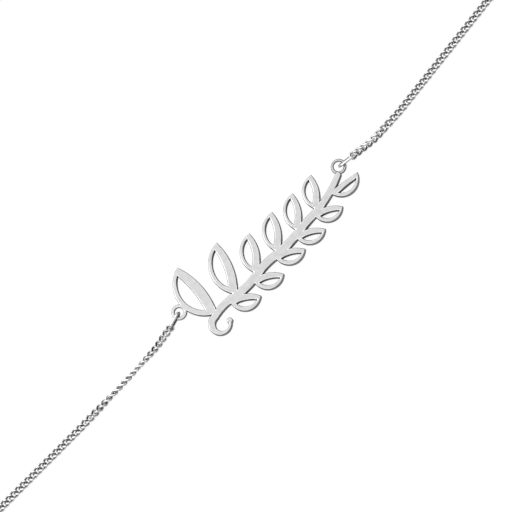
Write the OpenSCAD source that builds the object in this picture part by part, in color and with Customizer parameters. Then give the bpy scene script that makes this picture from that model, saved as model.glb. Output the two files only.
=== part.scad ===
/* [Plate] */
// Distance between the middles of the two eyelets
eyelet_span = 23.72; // [23:0.02:24.5]
// Thickness of the pierced plate
plate_t = 0.8; // [0.75:0.05:0.9]
// Half width of the stem where it is widest
stem_half = 0.52; // [0.45:0.01:0.6]

/* [Eyelets] */
// Outer diameter of both eyelets
eyelet_d = 1.78; // [1.7:0.02:1.9]
// Bore of both eyelets
bore_d = 1.0; // [0.94:0.02:1]
// Thickness of the flat eyelet at the left, flush with the plate's face
flat_eyelet_t = 0.4; // [0.35:0.05:0.4]

/* [Jump rings] */
// Wire of the oval jump rings
ring_wire = 0.26; // [0.24:0.005:0.28]
// Outer length of an oval jump ring
ring_length = 2.2; // [2.1:0.05:2.5]
// Radius of the wire's middle line at the ring's two round ends
ring_bend = 0.48; // [0.48:0.01:0.5]
// Angle that the standing rings lean over, apart from the left one
ring_lean = 20; // [15:5:30]
// Angle that the left ring leans over
left_lean = 0; // [-10:5:20]

/* [Chain] */
// Distance from one curb link to the next
link_pitch = 0.735; // [0.73:0.005:0.75]
// Wire of a curb link
link_wire = 0.19; // [0.18:0.005:0.2]
// Half length of a link, from its middle to the middle of the wire at its tip
link_reach = 0.53; // [0.53:0.005:0.54]
// Half width of a link, between the middles of its wire
link_side = 0.33; // [0.31:0.005:0.34]
// Twist of a link: how far its four corners leave its middle plane before rounding
link_twist = 0.44; // [0.4:0.01:0.46]
// Largest roll of the chain, where it lies on edge beside the plate
chain_roll = 85; // [60:5:90]

/* [Clasp] */
// Place of the clasp's middle, measured from the plate's middle
clasp_x = -2.48; // [-3:0.02:-2]
clasp_y = 41.7; // [41:0.1:43]
// Width of the clasp's bow
clasp_w = 2.9; // [2.7:0.1:3.1]
// Thickness of the clasp's body
clasp_t = 1.2; // [1:0.1:1.4]

/* [Hidden] */
$fn = 48;
link_fn = 16;
ring_fn = 24;

// The plate's middle, measured from the middle of the whole loop on the surface
plate_middle = [1.8, -18.85, 0];

// Leaves above the stem, one a row: x of the base, heading of the tip, length, width, how far the
// middle line bows to the left, share of the length that is slit
UPPER_LEAVES = [
    [-8.8, 89, 6.88, 3.2, 0.92, 0.70],
    [-5.8, 70, 6.31, 2.7, 0.67, 0.68],
    [-2.6, 60, 4.59, 2.2, 0.45, 0.66],
    [0.7, 58, 4.59, 2.15, 0.45, 0.66],
    [3.9, 58, 4.29, 2.05, 0.42, 0.66],
    [7.0, 59, 3.97, 1.95, 0.44, 0.64],
];
// Leaves below the stem, with the same columns
LOWER_LEAVES = [
    [-6.9, -35, 3.57, 1.95, -0.50, 0.62],
    [-3.5, -32, 3.53, 1.90, -0.47, 0.62],
    [0.0, -30, 3.53, 1.85, -0.47, 0.62],
    [3.2, -30, 3.44, 1.80, -0.46, 0.62],
    [6.3, -28, 3.34, 1.75, -0.45, 0.62],
    [9.2, -6, 3.80, 1.60, -0.74, 0.60],
];
// A slit's width and its shift to the left, as shares of the leaf's width
UPPER_SLIT = [0.44, 0.09];
LOWER_SLIT = [0.36, -0.06];
slit_middle = 0.53;
leaf_fn = 180;

stem_from = -9.35;
stem_to = 11.2;
stem_steps = 44;
stem_low_y = -3.1;
stem_rise = 1.0;
stem_wave = 0.22;
stem_wave_length = 6.5;
stem_wave_start = -9.2;
stem_end_rise = 1.45;
stem_ends_half = [0.4, 0.34];

// The curl: middles and radii of the two circles between which it lies, and the ball at its end
curl_middle = [stem_from, -4.045];
curl_r = 1.345;
curl_hole = [0.12, -0.235];
curl_hole_r = 0.76;
curl_cut = 0.15;
curl_end = [1, -0.5];
curl_ball_r = 0.34;

eyelet_z = plate_t - flat_eyelet_t / 2;
wire_eyelet_d = (eyelet_d - bore_d) / 2 - 0.04;

// A joining collar hides where two bends of wire meet
collar = 1.04;
ring_straight = ring_length / 2 - ring_bend - ring_wire / 2;
ring_bow = ring_straight + ring_bend;
// How far a ring's inner bow lies from the middle of the bore that it hangs in
bow_shift = 0.1;
ring_reach = bow_shift + 2 * ring_bow;

// From a ring's outer bow to the middle of the first link
link_lead = 0.165;
link_tip_half = 0.05;
tip_slope = norm([link_side, link_twist]);
side_slope = norm([link_reach, link_twist]);
link_corner = acos(link_twist * link_twist / (tip_slope * side_slope));
link_tangent = tip_slope - link_tip_half;
link_bend = link_tangent * tan(link_corner / 2);
// The ring's lean and the first link's roll go together, so that each passes through the other
function first_roll(lean) = lean + 20;
// Roll of the chain, by the distance along it from the plate's ring: it turns on edge, then lies flat
LEFT_ROLL = [[0, first_roll(left_lean)], [6.5, chain_roll], [8.8, chain_roll], [15, 0]];
RIGHT_ROLL = [[0, first_roll(ring_lean)], [2.2, 60], [6.2, 0]];
// The same, by the distance from the clasp's ring, where it rolls the other way
CLASP_ROLL = [[0, -first_roll(ring_lean) - 4], [5.8, 0]];

// A link's corner before rounding, the ways from it along the tip and the side, and its bend's middle
function corner_at(sx, sy) = [sx * link_reach, sy * link_side, sx * sy * link_twist];
function to_tip(sx, sy) = unit([0, -sy * link_side, -sx * sy * link_twist]);
function to_side(sx, sy) = unit([-sx * link_reach, 0, -sx * sy * link_twist]);
function bend_middle(sx, sy) = corner_at(sx, sy)
    + unit(to_tip(sx, sy) + to_side(sx, sy)) * link_bend / sin(link_corner / 2);

// Gap of the links and of the standing rings above the surface
link_gap = 0.02;
ring_gap = 0.005;
// Height of a link's middle at a roll, where its lowest bend is just clear of the surface
function rest_height(roll) =
    let(up = [0, sin(abs(roll)), cos(roll)], axis = unit(cross(to_tip(1, 1), to_side(1, 1))))
        bend_middle(1, 1) * up + link_bend * norm(cross(axis, up)) + link_wire / 2 + link_gap;
// Height of a standing ring's middle, and the length over which the chain sinks from it
function ring_z(lean) = max(eyelet_z, ring_bend * cos(lean) + ring_wire / 2 + ring_gap);
function end_lift(lean) = ring_z(lean) - rest_height(first_roll(lean));
lift_run = 4;

clasp_eye_x = -2.6;
clasp_bore_d = bore_d + 0.04;
clasp_bow_x = 1.5;
clasp_bow_wall = 0.55;
clasp_body = [-1.9, 0.35];
clasp_neck_r = 0.95;
clasp_hole_r = clasp_w / 2 - clasp_bow_wall;
// The rings' inner bows lie as far from the wall that they hang on as they do in an eyelet
bow_gap = bore_d / 2 - bow_shift;
catch_bow_x = clasp_bow_x + clasp_hole_r - bow_gap;

LEFT_HEADING = 198;
RIGHT_HEADING = -5;
eyelets = [[-eyelet_span / 2, 0], [eyelet_span / 2, 0]];
function toward(heading) = [cos(heading), sin(heading)];
clasp_middle = [clasp_x, clasp_y];

// Corners of each chain's way from the plate to the clasp: x, y, radius
LEFT_WAY = concat(
    [concat(eyelets[0] + toward(LEFT_HEADING) * ring_reach, [0])],
    [[-16.4, -1.20, 12], [-25, -1.88, 60], [-49, -3, 3.3], [-10.6, 41.7, 5]],
    [concat(clasp_middle + [clasp_eye_x - ring_reach, 0], [0])]
);
RIGHT_WAY = concat(
    [concat(eyelets[1] + toward(RIGHT_HEADING) * ring_reach, [0])],
    [[16.6, -0.42, 10], [21, 0.05, 30], [45, 4, 3.3], [5, 41.7, 5]],
    [concat(clasp_middle + [catch_bow_x + 2 * ring_bow, 0], [0])]
);

function unit(v) = v / norm(v);
function flat(corner) = [corner[0], corner[1]];
function heading_of(v) = atan2(v[1], v[0]);
function leg(way, i) = flat(way[i]) - flat(way[i - 1]);
function wrap(angle) = angle > 180 ? angle - 360 : angle < -180 ? angle + 360 : angle;
function turn_at(way, i) = i == 0 || i == len(way) - 1 ? 0
    : wrap(heading_of(leg(way, i + 1)) - heading_of(leg(way, i)));
function cut_at(way, i) = way[i][2] * tan(abs(turn_at(way, i)) / 2);

// The way as stretches: start, heading, length and turn of each straight and each round corner
function stretches(way) = [
    for (i = [1 : len(way) - 1])
        let(along = unit(leg(way, i)), heading = heading_of(along), turn = turn_at(way, i))
        each [
            [flat(way[i - 1]) + along * cut_at(way, i - 1), heading,
                norm(leg(way, i)) - cut_at(way, i - 1) - cut_at(way, i), 0],
            [flat(way[i]) - along * cut_at(way, i), heading,
                way[i][2] * abs(turn) * PI / 180, turn],
        ]
];
function whole(parts, i = 0) = i == len(parts) ? 0 : parts[i][2] + whole(parts, i + 1);

// Place and heading at distance s along one stretch, and along all of them
function on_stretch(part, s) = part[3] == 0
    ? [part[0] + toward(part[1]) * s, part[1]]
    : let(r = part[2] / (part[3] * PI / 180), now = part[1] + part[3] * s / part[2])
        [part[0] + r * [sin(now) - sin(part[1]), cos(part[1]) - cos(now)], now];
function on_way(parts, s, i = 0) = s <= parts[i][2] || i == len(parts) - 2
    ? on_stretch(parts[i], s)
    : on_way(parts, s - parts[i][2], i + 1);

// The chain's roll, and the height of its middle, at distance s along it
function roll_at(s, run, plate_roll) = lookup(s, plate_roll) + lookup(run - s, CLASP_ROLL);
function lift_at(s, lean) = end_lift(lean) * max(0, 1 - s / lift_run);
function height_at(s, run, plate_roll, lean) =
    rest_height(roll_at(s, run, plate_roll)) + lift_at(s, lean) + lift_at(run - s, ring_lean);

// Moves a piece from the plate's own frame to the whole loop's
module in_loop() {
    translate(plate_middle) children();
}

// Sets a piece with its x and y axes along two given directions
module set_along(place, x, y) {
    z = cross(x, y);
    multmatrix([
        [x[0], y[0], z[0], place[0]],
        [x[1], y[1], z[1], place[1]],
        [x[2], y[2], z[2], place[2]],
        [0, 0, 0, 1],
    ])
        children();
}

// A flat ribbon along a middle line, with its own half width at each point
module ribbon(line, half) {
    last = len(line) - 1;
    sides = [
        for (i = [0 : last])
            let(d = unit(line[min(i + 1, last)] - line[max(i - 1, 0)]))
            [-d[1], d[0]] * half[i]
    ];
    polygon(concat(
        [for (i = [0 : last]) line[i] + sides[i]],
        [for (i = [last : -1 : 0]) line[i] - sides[i]]
    ));
}

// The stem's middle line: a shallow wave that rises to the right eyelet
function stem_at(x) =
    let(t = (x - stem_from) / (stem_to - stem_from))
    [x, stem_low_y + stem_rise * t
        + stem_wave * sin(360 * (x - stem_wave_start) / stem_wave_length) * (1 - t)
        + stem_end_rise * pow(t, 7)];

module stem() {
    share = [for (i = [0 : stem_steps]) i / stem_steps];
    ribbon(
        [for (t = share) stem_at(stem_from + (stem_to - stem_from) * t)],
        [for (t = share) stem_ends_half[0] + (stem_ends_half[1] - stem_ends_half[0]) * t
            + (stem_half - stem_ends_half[0]) * sin(180 * t)]
    );
    translate(stem_at(stem_to)) circle(r = stem_ends_half[1]);
}

// The curl that ends the stem at the left, open between its ball and the stem
module curl() {
    curl_gap = stem_low_y - curl_middle[1] - curl_end[1];
    translate(curl_middle) {
        difference() {
            circle(r = curl_r);
            translate(curl_hole) circle(r = curl_hole_r);
            translate([curl_cut, curl_end[1]]) square([2 * curl_r, curl_gap]);
        }
        translate(curl_end) circle(r = curl_ball_r);
    }
}

// A pointed lens between two places, with the bulge of its left and of its right side
module lens(from, to, left, right) {
    half = norm(to - from) / 2;
    translate((from + to) / 2) rotate(heading_of(to - from)) intersection() {
        lens_disc(half, left);
        mirror([0, 1]) lens_disc(half, right);
    }
}
module lens_disc(half, bulge) {
    r = (half * half + bulge * bulge) / (2 * bulge);
    translate([0, bulge - r]) circle(r = r, $fn = leaf_fn);
}

// A place on a leaf's bowed middle line, from its base at 0 to its tip at 1
function vein(leaf, t) =
    let(
        bow = leaf[4],
        r = (leaf[2] * leaf[2] / 4 + bow * bow) / (2 * bow),
        spread = 2 * asin(leaf[2] / 2 / r),
        angle = (0.5 - t) * spread,
        along = leaf[2] / 2 - r * sin(angle),
        aside = r * cos(angle) - (r - bow)
    )
    stem_at(leaf[0]) + along * toward(leaf[1]) + aside * toward(leaf[1] + 90);

module leaf(row) {
    lens(vein(row, 0), vein(row, 1), row[3] / 2 + row[4], row[3] / 2 - row[4]);
}
module slit(row, size) {
    from = vein(row, slit_middle - row[5] / 2);
    to = vein(row, slit_middle + row[5] / 2);
    chord = (from + to) / 2 - vein(row, slit_middle);
    bow = sign(row[4]) * norm(chord);
    half = row[3] * size[0] / 2;
    translate(row[3] * size[1] * toward(row[1] + 90)) lens(from, to, half + bow, half - bow);
}

// The sprig's outline, with a slit in each leaf
module sprig() {
    difference() {
        union() {
            stem();
            curl();
            for (row = concat(UPPER_LEAVES, LOWER_LEAVES)) leaf(row);
        }
        for (row = UPPER_LEAVES) slit(row, UPPER_SLIT);
        for (row = LOWER_LEAVES) slit(row, LOWER_SLIT);
    }
}

module flat_eyelet() {
    translate([0, 0, plate_t - flat_eyelet_t]) cylinder(d = eyelet_d, h = flat_eyelet_t);
}

module wire_eyelet() {
    translate([0, 0, eyelet_z])
        rotate_extrude() translate([(eyelet_d - wire_eyelet_d) / 2, 0]) circle(d = wire_eyelet_d);
}

// The pierced plate with its two soldered eyelets, all one piece
module nameplate() {
    color("gainsboro") in_loop() difference() {
        union() {
            linear_extrude(plate_t) sprig();
            translate(eyelets[0]) flat_eyelet();
            translate(eyelets[1]) wire_eyelet();
        }
        for (eye = eyelets) translate([eye[0], eye[1], -1]) cylinder(d = bore_d, h = plate_t + 2);
    }
}

// An oval ring of round wire that lies along x, closed by two round ends
module oval_ring() {
    for (side = [-1, 1]) {
        translate([side * ring_straight, 0, 0]) rotate([0, 0, -90 * side])
            rotate_extrude(angle = 180, $fn = ring_fn)
                translate([ring_bend, 0]) circle(d = ring_wire, $fn = ring_fn);
        translate([-ring_straight, side * ring_bend, 0]) rotate([0, 90, 0])
            cylinder(d = ring_wire * collar, h = 2 * ring_straight, $fn = ring_fn);
    }
}

// A jump ring that stands on its edge, with its inner bow at a place and its length on a heading
module standing_ring(bow, heading, lean) {
    color("silver") in_loop()
        translate([bow[0], bow[1], ring_z(lean)]) rotate([0, 0, heading])
            translate([ring_bow, 0, 0]) rotate([90 + lean, 0, 0]) oval_ring();
}
module ring_left() {
    standing_ring(eyelets[0] + bow_shift * toward(LEFT_HEADING), LEFT_HEADING, left_lean);
}
module ring_right() {
    standing_ring(eyelets[1] + bow_shift * toward(RIGHT_HEADING), RIGHT_HEADING, ring_lean);
}
module ring_clasp() {
    standing_ring(clasp_middle + [clasp_eye_x - bow_shift, 0], 180, ring_lean);
}
module ring_catch() {
    standing_ring(clasp_middle + [catch_bow_x, 0], 0, ring_lean);
}

// One rounded corner of a curb link, from the tip's collar to the side's straight
module link_corner_bend(sx, sy) {
    middle = bend_middle(sx, sy);
    foot = corner_at(sx, sy) + to_tip(sx, sy) * link_tangent;
    set_along(middle, unit(foot - middle), -to_tip(sx, sy))
        rotate_extrude(angle = 180 - link_corner, $fn = 2 * link_fn)
            translate([link_bend, 0]) circle(d = link_wire, $fn = link_fn);
}

// A straight of wire through a place, along a direction, half its length each way
module straight_wire(place, along, half, reference) {
    set_along(place - along * half, reference, cross(along, reference))
        cylinder(d = link_wire * collar, h = 2 * half, $fn = link_fn);
}

// A curb link: a twisted oval whose wire passes over one neighbour and under the other
module curb_link() {
    for (sx = [-1, 1], sy = [-1, 1]) link_corner_bend(sx, sy);
    for (side = [-1, 1]) {
        straight_wire([0, side * link_side, 0], unit([link_reach, 0, side * link_twist]),
            side_slope - link_tangent, [0, 1, 0]);
        straight_wire([side * link_reach, 0, 0], unit([0, link_side, side * link_twist]),
            link_tip_half, [1, 0, 0]);
    }
}

// A run of interlocked curb links along a way, with its roll by the distance from the plate
module chain(way, plate_roll, lean) {
    parts = stretches(way);
    run = whole(parts);
    links = round((run - 2 * link_lead) / link_pitch);
    step = (run - 2 * link_lead) / links;
    color("silver") in_loop() for (i = [0 : links]) {
        s = link_lead + i * step;
        spot = on_way(parts, s);
        slope = atan((height_at(s + step / 2, run, plate_roll, lean)
            - height_at(s - step / 2, run, plate_roll, lean)) / step);
        translate([spot[0][0], spot[0][1], height_at(s, run, plate_roll, lean)])
            rotate([0, 0, spot[1]]) rotate([0, -slope, 0])
                rotate([roll_at(s, run, plate_roll), 0, 0]) curb_link();
    }
}
module chain_left() {
    chain(LEFT_WAY, LEFT_ROLL, left_lean);
}
module chain_right() {
    chain(RIGHT_WAY, RIGHT_ROLL, ring_lean);
}

// The clasp as one plain piece: thin at its eye and at its bow, where rings pass through, thick between
module clasp() {
    color("silver") in_loop() translate(clasp_middle) difference() {
        union() {
            translate([clasp_eye_x, 0, plate_t - flat_eyelet_t])
                cylinder(d = eyelet_d, h = flat_eyelet_t);
            translate([0, 0, plate_t - flat_eyelet_t]) linear_extrude(flat_eyelet_t) clasp_outline();
            intersection() {
                linear_extrude(clasp_t) clasp_outline();
                translate([clasp_body[0], -clasp_w, -1])
                    cube([clasp_body[1] - clasp_body[0], 2 * clasp_w, clasp_t + 2]);
            }
        }
        translate([clasp_eye_x, 0, -1]) cylinder(d = clasp_bore_d, h = clasp_t + 2);
        translate([clasp_bow_x, 0, -1]) cylinder(r = clasp_hole_r, h = clasp_t + 2);
    }
}
module clasp_outline() {
    hull() {
        translate([clasp_bow_x, 0]) circle(d = clasp_w);
        translate([clasp_body[0] + clasp_neck_r / 2, 0]) circle(r = clasp_neck_r);
    }
}

nameplate();
ring_left();
ring_right();
chain_left();
chain_right();
clasp();
ring_clasp();
ring_catch();
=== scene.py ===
"""Looks of the sprig bracelet: fine curb chain, oval rings, a pierced satin plate and its clasp."""
import math

import bmesh
import bpy
from mathutils import Matrix, Vector


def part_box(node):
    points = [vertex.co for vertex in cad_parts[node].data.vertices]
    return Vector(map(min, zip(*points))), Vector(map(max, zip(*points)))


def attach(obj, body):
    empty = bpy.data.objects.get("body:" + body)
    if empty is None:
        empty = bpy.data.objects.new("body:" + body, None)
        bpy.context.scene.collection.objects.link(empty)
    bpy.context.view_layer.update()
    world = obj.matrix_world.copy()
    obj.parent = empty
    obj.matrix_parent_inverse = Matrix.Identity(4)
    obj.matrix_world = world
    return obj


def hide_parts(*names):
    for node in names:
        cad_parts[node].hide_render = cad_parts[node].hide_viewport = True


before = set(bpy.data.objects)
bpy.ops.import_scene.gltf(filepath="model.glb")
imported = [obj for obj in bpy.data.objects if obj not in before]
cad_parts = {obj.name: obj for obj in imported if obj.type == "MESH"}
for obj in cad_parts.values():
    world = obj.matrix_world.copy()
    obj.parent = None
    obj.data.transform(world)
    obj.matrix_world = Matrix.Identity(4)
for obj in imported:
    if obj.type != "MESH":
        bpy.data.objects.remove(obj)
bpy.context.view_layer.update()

bl_info = {
    "name": "Sprig Bracelet",
    "version": (1, 0, 0),
    "blender": (4, 5, 0),
    "location": "View3D > Sidebar > Bracelet",
    "description": "Builds a silver bracelet of curb chain with a pierced leaf sprig plate",
    "category": "Object",
}

MM = 0.001
BODY = "root"

# The plate's middle in the row's frame, in millimetres
PLATE_MIDDLE = (1.8, -18.85)
EYELET_X = 11.86
LEFT_HEADING = 198
RIGHT_HEADING = -5
CLASP_MIDDLE = (-2.48, 41.7)
CLASP_EYE_X = -2.6
CATCH_BOW_X = 2.0

# Jump rings, in millimetres, with the gap of a standing one above the surface
RING_BEND = 0.48
RING_LENGTH = 2.2
RING_CAD_WIRE = 0.26
RING_LEAN = 20
LEFT_LEAN = 0
RING_GAP = 0.005
EYELET_Z = 0.6
BOW_SHIFT = 0.1
RING_BOW = RING_LENGTH / 2 - RING_CAD_WIRE / 2
RING_REACH = BOW_SHIFT + 2 * RING_BOW
# Faces around each of a ring's two ends, and around its wire
RING_STEPS = 24
RING_SIDES = 20

# Curb links, in millimetres, with the gap of the solid ones above the surface
LINK_PITCH = 0.735
LINK_LEAD = 0.165
LINK_REACH = 0.53
LINK_SIDE = 0.33
LINK_TWIST = 0.44
LINK_TIP_HALF = 0.05
LINK_CAD_WIRE = 0.19
LINK_GAP = 0.02
# The shown wire is thicker than the solid's, so its links lie a little higher
WIRE_LIFT = 0.025
# How much further a first link is rolled over than its ring leans, in degrees
FIRST_ROLL = 20
# Roll of the chain by the distance from the plate's ring, and from the clasp's ring
LEFT_ROLL = ((0, LEFT_LEAN + FIRST_ROLL), (6.5, 85), (8.8, 85), (15, 0))
RIGHT_ROLL = ((0, RING_LEAN + FIRST_ROLL), (2.2, 60), (6.2, 0))
CLASP_ROLL = ((0, -RING_LEAN - FIRST_ROLL - 4), (5.8, 0))
# Distance over which the chain sinks from a ring to the surface
LIFT_RUN = 4


def toward(heading):
    """The unit vector on a heading in degrees."""
    return Vector((math.cos(math.radians(heading)), math.sin(math.radians(heading))))


def lookup(key, table):
    """The value of a table of pairs at a key, on straight lines between its rows."""
    if key <= table[0][0]:
        return table[0][1]
    for (low, first), (high, last) in zip(table, table[1:]):
        if key <= high:
            return first + (last - first) * (key - low) / (high - low)
    return table[-1][1]


def ring_height(lean):
    """The height of the middle of a ring that stands on its edge and leans over."""
    return max(EYELET_Z, RING_BEND * math.cos(math.radians(lean)) + RING_CAD_WIRE / 2 + RING_GAP)


class Corner:
    """One rounded corner of the twisted oval that a curb link's wire follows."""

    def __init__(self, side_x, side_y):
        lift = side_x * side_y * LINK_TWIST
        self.place = Vector((side_x * LINK_REACH, side_y * LINK_SIDE, lift))
        to_tip = Vector((0, -side_y * LINK_SIDE, -lift))
        to_side = Vector((-side_x * LINK_REACH, 0, -lift))
        angle = to_tip.angle(to_side)
        self.tangent = to_tip.length - LINK_TIP_HALF
        self.to_tip, self.to_side = to_tip.normalized(), to_side.normalized()
        self.turn = math.pi - angle
        self.bend = self.tangent * math.tan(angle / 2)
        inward = (self.to_tip + self.to_side).normalized()
        self.middle = self.place + inward * self.bend / math.sin(angle / 2)

    def points(self, steps):
        """The round corner's points, from its end at the tip to its end at the side."""
        across = (self.place + self.to_tip * self.tangent - self.middle) / self.bend
        angles = [self.turn * k / steps for k in range(steps + 1)]
        return [self.middle + self.bend * (math.cos(a) * across - math.sin(a) * self.to_tip) for a in angles]

    def reach(self, up):
        """How far the corner's bend reaches along a direction."""
        axis = self.to_tip.cross(self.to_side).normalized()
        return self.middle.dot(up) + self.bend * axis.cross(up).length


def rest_height(roll):
    """The height of a link's middle at a roll, where its lowest bend is just clear of the surface."""
    up = Vector((0, math.sin(math.radians(abs(roll))), math.cos(math.radians(roll))))
    return Corner(1, 1).reach(up) + LINK_CAD_WIRE / 2 + LINK_GAP


def end_lift(lean):
    """How much higher the link in a ring lies than a link on the surface does."""
    return ring_height(lean) - rest_height(lean + FIRST_ROLL)


def way_points():
    """The corners of the two chains' ways, each as a place and a radius, in millimetres."""
    clasp = Vector(CLASP_MIDDLE)
    left = [
        (Vector((-EYELET_X, 0)) + toward(LEFT_HEADING) * RING_REACH, 0),
        (Vector((-16.4, -1.20)), 12), (Vector((-25, -1.88)), 60),
        (Vector((-49, -3)), 3.3), (Vector((-10.6, 41.7)), 5),
        (clasp + Vector((CLASP_EYE_X - RING_REACH, 0)), 0),
    ]
    right = [
        (Vector((EYELET_X, 0)) + toward(RIGHT_HEADING) * RING_REACH, 0),
        (Vector((16.6, -0.42)), 10), (Vector((21, 0.05)), 30),
        (Vector((45, 4)), 3.3), (Vector((5, 41.7)), 5),
        (clasp + Vector((CATCH_BOW_X + 2 * RING_BOW, 0)), 0),
    ]
    return left, right


class Way:
    """A way of straights and round corners that can be read at any distance along it."""

    def __init__(self, corners):
        places = [c[0] for c in corners]
        legs = [b - a for a, b in zip(places, places[1:])]
        headings = [math.degrees(math.atan2(leg.y, leg.x)) for leg in legs]
        turns = [0] + [(b - a + 180) % 360 - 180 for a, b in zip(headings, headings[1:])] + [0]
        cuts = [c[1] * math.tan(math.radians(abs(t)) / 2) for c, t in zip(corners, turns)]
        self.parts = []
        for i, leg in enumerate(legs):
            along = leg.normalized()
            straight = leg.length - cuts[i] - cuts[i + 1]
            self.parts.append((places[i] + along * cuts[i], headings[i], straight, 0))
            turn = turns[i + 1]
            if turn:
                start = places[i + 1] - along * cuts[i + 1]
                arc = corners[i + 1][1] * math.radians(abs(turn))
                self.parts.append((start, headings[i], arc, turn))
        self.length = sum(part[2] for part in self.parts)

    def at(self, s):
        """The place and heading at distance s."""
        for start, heading, length, turn in self.parts:
            if s <= length:
                break
            s -= length
        else:
            start, heading, length, turn = self.parts[-1]
            s += length
        if not turn:
            return start + toward(heading) * s, heading
        r = length / math.radians(turn)
        now = heading + turn * s / length
        a, b = math.radians(heading), math.radians(now)
        return start + r * Vector((math.sin(b) - math.sin(a), math.cos(a) - math.cos(b))), now


def link_line(bend_steps):
    """The closed middle line of one curb link: four rounded corners of a twisted oval."""
    line = []
    for side_x, side_y in ((1, 1), (-1, 1), (-1, -1), (1, -1)):
        points = Corner(side_x, side_y).points(bend_steps)
        line += points if side_x == side_y else points[::-1]
    return line


def in_row(x, y, z):
    """A matrix that moves a piece from the plate's frame in millimetres to the row's in metres."""
    return Matrix.Scale(MM, 4) @ Matrix.Translation((PLATE_MIDDLE[0] + x, PLATE_MIDDLE[1] + y, z))


def turned(angle, axis):
    """A turn about an axis, in degrees."""
    return Matrix.Rotation(math.radians(angle), 4, axis)


def link_places(way, rolls, lean):
    """A matrix for each link on a way that starts at a ring with a lean."""
    run = way.length
    links = round((run - 2 * LINK_LEAD) / LINK_PITCH)
    step = (run - 2 * LINK_LEAD) / links
    near, far = end_lift(lean), end_lift(RING_LEAN)

    def roll_at(s):
        return lookup(s, rolls) + lookup(run - s, CLASP_ROLL)

    def height_at(s):
        lift = near * max(0, 1 - s / LIFT_RUN) + far * max(0, 1 - (run - s) / LIFT_RUN)
        return rest_height(roll_at(s)) + lift + WIRE_LIFT

    for i in range(links + 1):
        s = LINK_LEAD + i * step
        spot, heading = way.at(s)
        slope = math.degrees(math.atan2(height_at(s + step / 2) - height_at(s - step / 2), step))
        yield (in_row(spot.x, spot.y, height_at(s)) @ turned(heading, "Z")
               @ turned(-slope, "Y") @ turned(roll_at(s), "X"))


def oval_line(bend_steps):
    """The closed middle line of an oval ring that lies along x in the plane z = 0."""
    straight = RING_BOW - RING_BEND
    line = []
    for side in (1, -1):
        for k in range(bend_steps + 1):
            a = -math.pi / 2 + math.pi * k / bend_steps
            line.append(Vector((straight + RING_BEND * math.cos(a), RING_BEND * math.sin(a), 0)) * side)
    return line


# The layer of a wire's mesh that the painted shade reads: how much a point faces the inside of its loop
RECESS = "Recess"


def tube_on(mesh, line, radius, sides, place, ground=None):
    """Adds a closed tube of wire on a closed line to a bmesh, moved by a matrix.

    Where ground is given, the wire is ground flat at that height above and below the loop. The recess layer
    says how much a point faces the inside of the loop, where the material darkens the metal as painted
    shade."""
    count = len(line)
    recess = mesh.verts.layers.float.get(RECESS) or mesh.verts.layers.float.new(RECESS)
    rings = []
    facets = set()
    for i, point in enumerate(line):
        ahead = (line[(i + 1) % count] - line[i - 1]).normalized()
        out = (point - ahead * point.dot(ahead)).normalized()
        side = ahead.cross(out)
        ring = []
        for k in range(sides):
            a = 2 * math.pi * k / sides
            spot = point + (out * math.cos(a) + side * math.sin(a)) * radius
            if ground and abs(spot.z) > ground:
                spot.z = math.copysign(ground, spot.z)
                facets.add((i, k))
            vert = mesh.verts.new(place @ spot)
            vert[recess] = 0.5 - 0.5 * math.cos(a)
            ring.append(vert)
        rings.append(ring)
    for i in range(count):
        j = (i + 1) % count
        for k in range(sides):
            n = (k + 1) % sides
            face = mesh.faces.new((rings[i][k], rings[j][k], rings[j][n], rings[i][n]))
            face.smooth = not facets.issuperset(((i, k), (j, k), (j, n), (i, n)))


def new_piece(name, mesh, materials, nodes):
    """Makes an object of a bmesh, hangs it on its body, and hides the CAD nodes that it stands for."""
    bmesh.ops.recalc_face_normals(mesh, faces=mesh.faces)
    data = bpy.data.meshes.new(name)
    mesh.to_mesh(data)
    mesh.free()
    piece = bpy.data.objects.new(name, data)
    bpy.context.scene.collection.objects.link(piece)
    for material in materials:
        data.materials.append(material)
    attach(piece, BODY)
    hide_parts(*nodes)
    return piece


def node_of(tree, kind, x, y, name=None, **inputs):
    """Adds a shader node at a place, with values for its named inputs."""
    node = tree.nodes.new(kind)
    node.location = (x, y)
    if name:
        node.label = name
    for key, value in inputs.items():
        node.inputs[key.replace("_", " ")].default_value = value
    return node


def math_of(tree, operation, x, y, name, *values):
    """Adds a Math node of numbers and of other nodes' outputs, and gives its output."""
    node = node_of(tree, "ShaderNodeMath", x, y, name)
    node.operation = operation
    for socket, value in zip(node.inputs, values):
        if isinstance(value, bpy.types.NodeSocket):
            tree.links.new(value, socket)
        else:
            socket.default_value = value
    return node.outputs[0]


# Depth of the grain in metres, size of the handling marks as cells in a metre, and colour of the painted
# shade inside the links and rings
GRAIN_DEPTH = 0.002 * MM
MARK_SCALE = 2200.0
PAINTED_SHADE_COLOR = (0.03, 0.03, 0.033)


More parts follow.
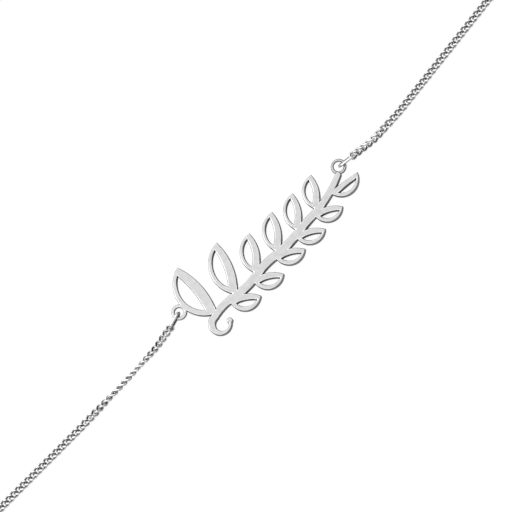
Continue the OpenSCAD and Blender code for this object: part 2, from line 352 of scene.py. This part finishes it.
def grain_group():
    """A node group: the uneven finish of silver, as a roughness, its fine grain's height and its marks."""
    found = bpy.data.node_groups.get("Silver Grain")
    if found:
        return found
    group = bpy.data.node_groups.new("Silver Grain", "ShaderNodeTree")
    for name, value in (("Grain Size", 0.05), ("Stretch", 1.0), ("Roughness", 0.3), ("Unevenness", 0.1)):
        socket = group.interface.new_socket(name, in_out="INPUT", socket_type="NodeSocketFloat")
        socket.default_value = value
    for name in ("Roughness", "Height", "Mottle"):
        group.interface.new_socket(name, in_out="OUTPUT", socket_type="NodeSocketFloat")
    source = node_of(group, "NodeGroupInput", -900, 0)
    sink = node_of(group, "NodeGroupOutput", 700, 0)
    place = node_of(group, "ShaderNodeTexCoord", -900, 300).outputs["Object"]
    cells = math_of(group, "DIVIDE", -700, 100, "Cells in a metre", 1 / MM, source.outputs["Grain Size"])
    combine = node_of(group, "ShaderNodeCombineXYZ", -700, -60, "Stretch along the plate", X=1.0, Z=1.0)
    group.links.new(source.outputs["Stretch"], combine.inputs["Y"])
    stretched = node_of(group, "ShaderNodeVectorMath", -500, 200)
    stretched.operation = "MULTIPLY"
    group.links.new(place, stretched.inputs[0])
    group.links.new(combine.outputs[0], stretched.inputs[1])
    fine = node_of(group, "ShaderNodeTexNoise", -300, 200, "Fine grain", Detail=3.0)
    group.links.new(stretched.outputs[0], fine.inputs["Vector"])
    group.links.new(cells, fine.inputs["Scale"])
    coarse = node_of(group, "ShaderNodeTexNoise", -300, -100, "Handling marks", Scale=MARK_SCALE, Detail=3.0)
    group.links.new(place, coarse.inputs["Vector"])
    both = math_of(group, "ADD", -100, 0, "Grain and marks", fine.outputs["Fac"], coarse.outputs["Fac"])
    spread = math_of(group, "MULTIPLY_ADD", 50, 0, "Spread about the middle", both, 0.5, -0.5)
    share = math_of(group, "MULTIPLY", 200, 0, "Unevenness", spread, source.outputs["Unevenness"])
    total = math_of(group, "ADD", 400, 0, "Roughness", share, source.outputs["Roughness"])
    total.node.use_clamp = True
    group.links.new(total, sink.inputs["Roughness"])
    group.links.new(fine.outputs["Fac"], sink.inputs["Height"])
    group.links.new(coarse.outputs["Fac"], sink.inputs["Mottle"])
    return group


def silver(name, light, shade, roughness, unevenness, size, relief, stretch=1, painted_shade=0.0):
    """A silver finish: grain from the shared group, a colour that varies, and painted shade in recesses.

    Shade is the share of the colour in its darker patches, and size the grain's, in millimetres."""
    material = bpy.data.materials.new(name)
    material.use_nodes = True
    tree = material.node_tree
    shader = tree.nodes["Principled BSDF"]
    shader.inputs["Metallic"].default_value = 1.0
    grain = node_of(tree, "ShaderNodeGroup", -600, 0)
    grain.node_tree = grain_group()
    grain.inputs["Grain Size"].default_value = size
    grain.inputs["Stretch"].default_value = stretch
    grain.inputs["Roughness"].default_value = roughness
    grain.inputs["Unevenness"].default_value = unevenness
    tone = node_of(tree, "ShaderNodeMix", -300, 200, "Tone")
    tone.data_type = "RGBA"
    tone.inputs["A"].default_value = (*(c * shade for c in light), 1)
    tone.inputs["B"].default_value = (*light, 1)
    tree.links.new(grain.outputs["Mottle"], tone.inputs["Factor"])
    color = tone.outputs["Result"]
    # Painted shade: the insides of the links and rings are darkened toward near black, where shade falls
    # between the wires
    if painted_shade:
        recess = node_of(tree, "ShaderNodeAttribute", -600, 400, RECESS)
        recess.attribute_name = RECESS
        share = math_of(tree, "MULTIPLY", -300, 450, "Painted shade", recess.outputs["Fac"], painted_shade)
        shade_mix = node_of(tree, "ShaderNodeMix", -100, 300, "Painted shade mix")
        shade_mix.data_type = "RGBA"
        shade_mix.inputs["B"].default_value = (*PAINTED_SHADE_COLOR, 1)
        tree.links.new(share, shade_mix.inputs["Factor"])
        tree.links.new(color, shade_mix.inputs["A"])
        color = shade_mix.outputs["Result"]
    tree.links.new(color, shader.inputs["Base Color"])
    tree.links.new(grain.outputs["Roughness"], shader.inputs["Roughness"])
    bump = node_of(tree, "ShaderNodeBump", -300, -200, "Relief", Strength=relief, Distance=GRAIN_DEPTH)
    tree.links.new(grain.outputs["Height"], bump.inputs["Height"])
    tree.links.new(bump.outputs["Normal"], shader.inputs["Normal"])
    return material


class BraceletShapes(bpy.types.PropertyGroup):
    """Sizes of the shown pieces that a user may change."""

    link_wire: bpy.props.FloatProperty(
        name="Link wire", description="Diameter of the curb links' wire, in metres",
        default=0.26 * MM, min=0.19 * MM, max=0.28 * MM, precision=5, unit="LENGTH")
    link_sides: bpy.props.IntProperty(
        name="Link sides", description="Number of faces around the wire of a link",
        default=10, min=6, max=14)
    link_steps: bpy.props.IntProperty(
        name="Link steps", description="Number of faces along each of a link's four bends",
        default=8, min=4, max=10)
    link_ground: bpy.props.FloatProperty(
        name="Link facets", description="Height above a link's middle at which it is ground flat, in metres",
        default=0.29 * MM, min=0.24 * MM, max=0.4 * MM, precision=5, unit="LENGTH")
    ring_wire: bpy.props.FloatProperty(
        name="Ring wire", description="Diameter of the jump rings' wire, in metres",
        default=0.33 * MM, min=0.24 * MM, max=0.34 * MM, precision=5, unit="LENGTH")
    rim_width: bpy.props.FloatProperty(
        name="Rim width", description="Width of the plate's and clasp's polished rims, in metres",
        default=0.11 * MM, min=0.02 * MM, max=0.16 * MM, precision=5, unit="LENGTH")


class BraceletFinish(bpy.types.PropertyGroup):
    """Colours and finishes of the silver."""

    face_color: bpy.props.FloatVectorProperty(
        name="Face colour", description="Colour of the plate's and clasp's satin faces",
        subtype="COLOR", size=3, default=(0.52, 0.52, 0.525), min=0, max=1)
    # The walls' colour is painted shade: a much darker silver than the face, as if the walls stood in shade
    wall_shade_color: bpy.props.FloatVectorProperty(
        name="Wall shade colour", description="Colour of the plate's sawn walls",
        subtype="COLOR", size=3, default=(0.3, 0.3, 0.305), min=0, max=1)
    rim_color: bpy.props.FloatVectorProperty(
        name="Rim colour", description="Colour of the plate's and clasp's polished rims",
        subtype="COLOR", size=3, default=(0.72, 0.72, 0.725), min=0, max=1)
    bright_color: bpy.props.FloatVectorProperty(
        name="Bright colour", description="Colour of the chain's and rings' polished silver",
        subtype="COLOR", size=3, default=(0.92, 0.92, 0.925), min=0, max=1)
    face_roughness: bpy.props.FloatProperty(
        name="Face roughness", description="Roughness of the satin faces",
        default=0.38, min=0, max=1, subtype="FACTOR")
    bright_roughness: bpy.props.FloatProperty(
        name="Bright roughness", description="Roughness of polished silver",
        default=0.14, min=0, max=1, subtype="FACTOR")
    wall_roughness: bpy.props.FloatProperty(
        name="Wall roughness", description="Roughness of the plate's sawn walls",
        default=0.5, min=0, max=1, subtype="FACTOR")
    # Strength of the painted shade inside the links and rings
    painted_shade: bpy.props.FloatProperty(
        name="Painted shade", description="How dark the insides of the links and rings are",
        default=0.97, min=0, max=1, subtype="FACTOR")


class StudioSettings(bpy.types.PropertyGroup):
    """Floor and lights of the stage."""

    floor_color: bpy.props.FloatVectorProperty(
        name="Floor colour", description="Colour of the floor as the metal mirrors it",
        subtype="COLOR", size=3, default=(0.9, 0.9, 0.9), min=0, max=1)
    white: bpy.props.FloatProperty(
        name="White", description="Brightness of the floor and surroundings to the eye",
        default=1.08, min=0, max=2)
    shadow: bpy.props.FloatProperty(
        name="Shadow", description="Share of the floor's white that comes from the lights and can be shaded",
        default=0.15, min=0, max=1, subtype="FACTOR")
    key_glow: bpy.props.FloatProperty(
        name="Key glow", description="Brightness of the large soft light above",
        default=1.3, min=0, max=20)
    side_glow: bpy.props.FloatProperty(
        name="Side glow", description="Brightness of the small soft light near the curled end",
        default=2.0, min=0, max=50)
    horizon: bpy.props.FloatProperty(
        name="Horizon", description="Brightness of the dark surroundings that the metal mirrors",
        default=0.36, min=0, max=1)


def shades():
    """The silver finishes, made once and shared by the pieces."""
    finish = bpy.context.scene.bracelet_finish
    found = {m.name: m for m in bpy.data.materials}
    if "Satin face" in found:
        return found
    bright = tuple(finish.bright_color)
    face = tuple(finish.face_color)
    rim = tuple(finish.rim_color)
    wall = tuple(finish.wall_shade_color)
    silver("Polished silver", bright, shade=0.94, roughness=finish.bright_roughness,
           unevenness=0.06, size=0.04, relief=0.15, painted_shade=finish.painted_shade)
    silver("Satin face", face, shade=0.7, roughness=finish.face_roughness,
           unevenness=0.16, size=0.07, relief=0.6, stretch=6)
    silver("Polished rim", rim, shade=0.94, roughness=finish.bright_roughness,
           unevenness=0.06, size=0.04, relief=0.1)
    # Painted shade: the plate's walls get a darker silver than its face and rim
    silver("Sawn wall", wall, shade=0.7, roughness=finish.wall_roughness,
           unevenness=0.2, size=0.05, relief=0.6)
    return {m.name: m for m in bpy.data.materials}


class BRACELET_OT_chains(bpy.types.Operator):
    """Lays the two runs of interlocked curb links"""

    bl_idname = "bracelet.chains"
    bl_label = "Chains"

    def execute(self, context):
        shapes = context.scene.bracelet_shapes
        line = link_line(shapes.link_steps)
        ways = way_points()
        rows = ((ways[0], LEFT_ROLL, LEFT_LEAN, "left"), (ways[1], RIGHT_ROLL, RING_LEAN, "right"))
        for corners, rolls, lean, side in rows:
            mesh = bmesh.new()
            for place in link_places(Way(corners), rolls, lean):
                tube_on(mesh, line, shapes.link_wire / MM / 2, shapes.link_sides, place,
                        shapes.link_ground / MM)
            new_piece("curb_chain_" + side, mesh, [shades()["Polished silver"]],
                      ["chain_" + side])
        return {"FINISHED"}


class BRACELET_OT_rings(bpy.types.Operator):
    """Hangs the oval jump rings in the eyelets and in the clasp"""

    bl_idname = "bracelet.rings"
    bl_label = "Jump rings"

    def execute(self, context):
        shapes = context.scene.bracelet_shapes
        clasp = Vector(CLASP_MIDDLE)
        rows = (
            ("left", Vector((-EYELET_X, 0)) + BOW_SHIFT * toward(LEFT_HEADING), LEFT_HEADING, LEFT_LEAN),
            ("right", Vector((EYELET_X, 0)) + BOW_SHIFT * toward(RIGHT_HEADING), RIGHT_HEADING, RING_LEAN),
            ("clasp", clasp + Vector((CLASP_EYE_X - BOW_SHIFT, 0)), 180, RING_LEAN),
            ("catch", clasp + Vector((CATCH_BOW_X, 0)), 0, RING_LEAN),
        )
        line = oval_line(RING_STEPS)
        for name, bow, heading, lean in rows:
            mesh = bmesh.new()
            place = (in_row(bow.x, bow.y, ring_height(lean)) @ turned(heading, "Z")
                     @ Matrix.Translation((RING_BOW, 0, 0)) @ turned(90 + lean, "X"))
            tube_on(mesh, line, shapes.ring_wire / MM / 2, RING_SIDES, place)
            new_piece("jump_ring_" + name, mesh, [shades()["Polished silver"]],
                      ["ring_" + name])
        return {"FINISHED"}


# Outline points closer than this are joined before a rim is cut
MERGE_GAP = 0.045 * MM
# Points as close as this are one point, and points as close to a level as this lie on it, in metres
SAME_POINT = 1e-7
SAME_LEVEL = 1e-6
# Faces that turn less than this, in degrees, are joined
FLAT_ANGLE = 0.5
# Edges of a level face that turn down more than this, in degrees, get a rim of this many faces
RIM_ANGLE = 50
RIM_SEGMENTS = 3
# How level a face, a rim's polished part and a wall's highest slope are, from 0 upright to 1 level
LEVEL_FACE = 0.9
LEVEL_RIM = 0.85
LEVEL_WALL = 0.5
# Edges that turn more than this, in degrees, stay sharp
SHARP_ANGLE = 35
# Places of the materials on a piece
FACE, RIM, WALL = 0, 1, 2


def bevelled_copy(node, name, materials, width):
    """A copy of a CAD node with narrow polished rims: face first, then rim, then wall material."""
    mesh = bmesh.new()
    mesh.from_mesh(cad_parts[node].data)
    bmesh.ops.remove_doubles(mesh, verts=mesh.verts, dist=SAME_POINT)
    levels = [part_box(node)[0].z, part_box(node)[1].z]
    rims = [v for v in mesh.verts if min(abs(v.co.z - z) for z in levels) < SAME_LEVEL]
    bmesh.ops.remove_doubles(mesh, verts=rims, dist=MERGE_GAP)
    bmesh.ops.dissolve_limit(mesh, angle_limit=math.radians(FLAT_ANGLE), verts=mesh.verts,
                             edges=mesh.edges, delimit=set())
    sharp = [e for e in mesh.edges
             if e.is_convex and e.calc_face_angle(0) > math.radians(RIM_ANGLE)
             and max(abs(f.normal.z) for f in e.link_faces) > LEVEL_FACE]
    bmesh.ops.bevel(mesh, geom=sharp, offset=width, offset_type="OFFSET", segments=RIM_SEGMENTS,
                    profile=0.5, affect="EDGES", clamp_overlap=False, material=RIM)
    for face in mesh.faces:
        face.smooth = True
        level = abs(face.normal.z)
        if face.material_index != RIM:
            face.material_index = FACE if level > LEVEL_WALL else WALL
        elif level < LEVEL_RIM:
            face.material_index = WALL
    for edge in mesh.edges:
        tones = {face.material_index for face in edge.link_faces}
        edge.smooth = tones != {FACE, RIM} and edge.calc_face_angle(0) < math.radians(SHARP_ANGLE)
    return new_piece(name, mesh, materials, [node])


class BRACELET_OT_plate(bpy.types.Operator):
    """Finishes the pierced plate with a satin face, a polished rim and rough walls darkened with painted
    shade
    """

    bl_idname = "bracelet.plate"
    bl_label = "Plate"

    def execute(self, context):
        shapes = context.scene.bracelet_shapes
        found = shades()
        bevelled_copy("nameplate", "sprig_plate",
                      [found["Satin face"], found["Polished rim"], found["Sawn wall"]],
                      shapes.rim_width)
        return {"FINISHED"}


class BRACELET_OT_clasp(bpy.types.Operator):
    """Finishes the plain clasp"""

    bl_idname = "bracelet.clasp"
    bl_label = "Clasp"

    def execute(self, context):
        shapes = context.scene.bracelet_shapes
        found = shades()
        bright = found["Polished rim"]
        bevelled_copy("clasp", "plain_clasp", [found["Satin face"], bright, bright],
                      shapes.rim_width)
        return {"FINISHED"}


# Soft lights, in metres: place, target and size of the wide one above and of the small one at the left
KEY_LIGHT = ((-0.08, 0.24, 0.66), (0, 0, 0), 1.3)
SIDE_LIGHT = ((-0.075, 0.045, 0.13), (-0.01, -0.019, 0), 0.06)
# The floor's half width and its depth under the bracelet, in metres, and its finish
FLOOR_HALF = 1.5
FLOOR_GAP = 0.01 * MM
FLOOR_ROUGHNESS = 0.9
FLOOR_GLOSS = 0.1
# The photo's view: its width at the plate, and its middle from the plate's middle, in millimetres
PHOTO_WIDTH = 56.2 * MM
PHOTO_MIDDLE = (-1.461, -1.17, 0.7)
# Angles of the camera in degrees, and its distance in metres
CAMERA_ELEVATION = 76
CAMERA_ROLL = 42.45
CAMERA_DISTANCE = 0.6
# Width of the camera's sensor in millimetres, and the nearest place that it sees, in metres
SENSOR = 36.0
NEAREST_SEEN = 0.01


class BRACELET_OT_stage(bpy.types.Operator):
    """Sets the pale floor, the soft lights and the camera"""

    bl_idname = "bracelet.stage"
    bl_label = "Stage"

    def execute(self, context):
        studio = context.scene.bracelet_studio
        middle = Vector((PLATE_MIDDLE[0] + PHOTO_MIDDLE[0], PLATE_MIDDLE[1] + PHOTO_MIDDLE[1],
                         PHOTO_MIDDLE[2])) * MM
        self.floor(context, studio)
        self.surroundings(context, studio)
        self.softbox(context, "Key", studio.key_glow, *KEY_LIGHT)
        self.softbox(context, "Side", studio.side_glow, *SIDE_LIGHT)
        self.camera(context, middle)
        context.scene.view_settings.view_transform = "Standard"
        return {"FINISHED"}

    def floor(self, context, studio):
        """A wide plane just under the bracelet."""
        mesh = bpy.data.meshes.new("floor")
        half, low = FLOOR_HALF, -FLOOR_GAP
        mesh.from_pydata([(-half, -half, low), (half, -half, low), (half, half, low), (-half, half, low)],
                         [], [(0, 1, 2, 3)])
        floor = bpy.data.objects.new("floor", mesh)
        context.scene.collection.objects.link(floor)
        material = bpy.data.materials.new("Pale floor")
        material.use_nodes = True
        tree = material.node_tree
        shader = tree.nodes["Principled BSDF"]
        shader.inputs["Base Color"].default_value = (*studio.floor_color, 1)
        shader.inputs["Roughness"].default_value = FLOOR_ROUGHNESS
        shader.inputs["Specular IOR Level"].default_value = FLOOR_GLOSS
        glow = node_of(tree, "ShaderNodeEmission", 0, -300, "White to the eye", Strength=studio.white)
        seen = node_of(tree, "ShaderNodeLightPath", 0, 500)
        mix = node_of(tree, "ShaderNodeMixShader", 400, 0)
        share = math_of(tree, "MULTIPLY", 200, 400, "Share that is white to the eye",
                        seen.outputs["Is Camera Ray"], 1 - studio.shadow)
        tree.links.new(share, mix.inputs["Fac"])
        tree.links.new(shader.outputs[0], mix.inputs[1])
        tree.links.new(glow.outputs[0], mix.inputs[2])
        tree.links.new(mix.outputs[0], tree.nodes["Material Output"].inputs["Surface"])
        mesh.materials.append(material)

    def surroundings(self, context, studio):
        """Pale to the eye, and darker where the metal mirrors them."""
        world = bpy.data.worlds.new("Studio")
        world.use_nodes = True
        context.scene.world = world
        tree = world.node_tree
        tree.nodes.clear()
        out = node_of(tree, "ShaderNodeOutputWorld", 600, 0)
        mix = node_of(tree, "ShaderNodeMixShader", 400, 0)
        seen = node_of(tree, "ShaderNodeLightPath", 0, 300)
        dark = node_of(tree, "ShaderNodeBackground", 0, 0, Strength=studio.horizon)
        pale = node_of(tree, "ShaderNodeBackground", 0, -200, Strength=studio.white)
        dark.inputs["Color"].default_value = (1, 1, 1, 1)
        pale.inputs["Color"].default_value = (1, 1, 1, 1)
        tree.links.new(seen.outputs["Is Camera Ray"], mix.inputs["Fac"])
        tree.links.new(dark.outputs[0], mix.inputs[1])
        tree.links.new(pale.outputs[0], mix.inputs[2])
        tree.links.new(mix.outputs[0], out.inputs["Surface"])

    def softbox(self, context, name, glow, place, target, size):
        """A square area light that faces a target, as bright as its glow says from wherever it is seen."""
        light = bpy.data.lights.new(name, "AREA")
        light.energy = glow * math.pi * size * size
        light.shape = "SQUARE"
        light.size = size
        lamp = bpy.data.objects.new(name, light)
        lamp.location = place
        lamp.rotation_euler = (Vector(target) - Vector(place)).to_track_quat("-Z", "Y").to_euler()
        lamp.visible_camera = False
        context.scene.collection.objects.link(lamp)

    def camera(self, context, middle):
        """A long lens above the plate, rolled as the photograph is."""
        data = bpy.data.cameras.new("Camera")
        data.sensor_width = SENSOR
        data.lens = SENSOR * CAMERA_DISTANCE / PHOTO_WIDTH
        data.clip_start = NEAREST_SEEN
        camera = bpy.data.objects.new("Camera", data)
        context.scene.collection.objects.link(camera)
        up = math.radians(CAMERA_ELEVATION)
        roll = math.radians(CAMERA_ROLL)
        back = Vector((0, -math.cos(up), math.sin(up)))
        level = Vector((1, 0, 0))
        upward = Vector((0, math.sin(up), math.cos(up)))
        right = math.cos(roll) * level - math.sin(roll) * upward
        top = math.sin(roll) * level + math.cos(roll) * upward
        place = middle + back * CAMERA_DISTANCE
        camera.matrix_world = Matrix((
            (right.x, top.x, back.x, place.x),
            (right.y, top.y, back.y, place.y),
            (right.z, top.z, back.z, place.z),
            (0, 0, 0, 1)))
        context.scene.camera = camera


class VIEW3D_PT_bracelet(bpy.types.Panel):
    """Sizes, finishes and steps of the bracelet"""

    bl_label = "Sprig Bracelet"
    bl_space_type = "VIEW_3D"
    bl_region_type = "UI"
    bl_category = "Bracelet"

    def draw(self, context):
        scene = context.scene
        for group in (scene.bracelet_shapes, scene.bracelet_finish, scene.bracelet_studio):
            box = self.layout.box()
            for name in group.bl_rna.properties.keys():
                if name not in ("rna_type", "name"):
                    box.prop(group, name)
        for operator in STEPS:
            self.layout.operator(operator.bl_idname)


STEPS = (BRACELET_OT_stage, BRACELET_OT_chains, BRACELET_OT_rings, BRACELET_OT_plate, BRACELET_OT_clasp)
CLASSES = (BraceletShapes, BraceletFinish, StudioSettings, *STEPS, VIEW3D_PT_bracelet)


def register():
    for item in CLASSES:
        bpy.utils.register_class(item)
    bpy.types.Scene.bracelet_shapes = bpy.props.PointerProperty(type=BraceletShapes)
    bpy.types.Scene.bracelet_finish = bpy.props.PointerProperty(type=BraceletFinish)
    bpy.types.Scene.bracelet_studio = bpy.props.PointerProperty(type=StudioSettings)


def unregister():
    del bpy.types.Scene.bracelet_studio
    del bpy.types.Scene.bracelet_finish
    del bpy.types.Scene.bracelet_shapes
    for item in reversed(CLASSES):
        bpy.utils.unregister_class(item)


def main():
    """Registers the add-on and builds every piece."""
    register()
    bpy.ops.bracelet.stage()
    bpy.ops.bracelet.chains()
    bpy.ops.bracelet.rings()
    bpy.ops.bracelet.plate()
    bpy.ops.bracelet.clasp()


if __name__ == "__main__":
    main()
